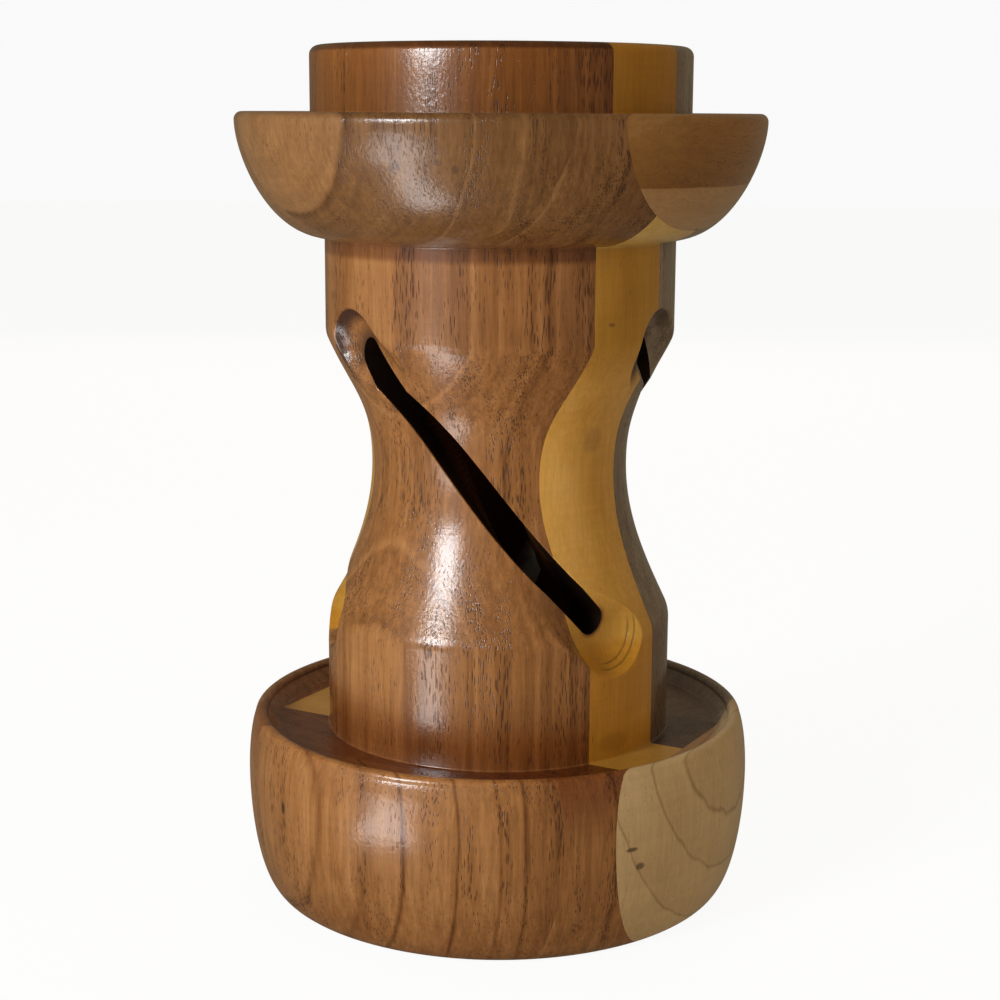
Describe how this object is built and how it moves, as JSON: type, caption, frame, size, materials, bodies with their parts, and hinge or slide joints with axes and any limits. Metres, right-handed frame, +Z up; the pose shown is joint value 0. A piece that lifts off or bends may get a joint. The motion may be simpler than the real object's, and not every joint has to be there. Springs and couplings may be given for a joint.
{
  "type": "pedestal stand",
  "caption": "Turned laminated hardwood pedestal stand: tray base, hollow waisted column with spiral slots, wide upper bowl and a raised cup collar.",
  "frame": {"origin": "centre of the flat underside, where the stand rests", "axes": "+Z up along the turning axis; X and Y square to the glue lines, with the pale board's glue lines across Y and the front board towards -Y"},
  "size_m": [0.1412, 0.1412, 0.23],
  "materials": {
    "walnut_front": "clear gloss varnish over orange-brown walnut",
    "maple_light": "clear gloss varnish over golden pale wood",
    "walnut_rear": "clear gloss varnish over grey-brown walnut",
    "ash_side": "clear gloss varnish over tan wood with arched grain"
  },
  "bodies": {
    "root": {"front_board": "walnut_front", "light_board": "maple_light", "inner_back_board": "walnut_rear", "back_board": "walnut_rear", "base_front_board": "walnut_front", "base_back_board": "walnut_rear", "base_left_board": "walnut_front", "base_right_board": "ash_side", "bowl_front_board": "walnut_front", "bowl_back_board": "walnut_rear", "bowl_left_board": "walnut_front", "bowl_right_board": "ash_side"}
  },
  "joints": []
}
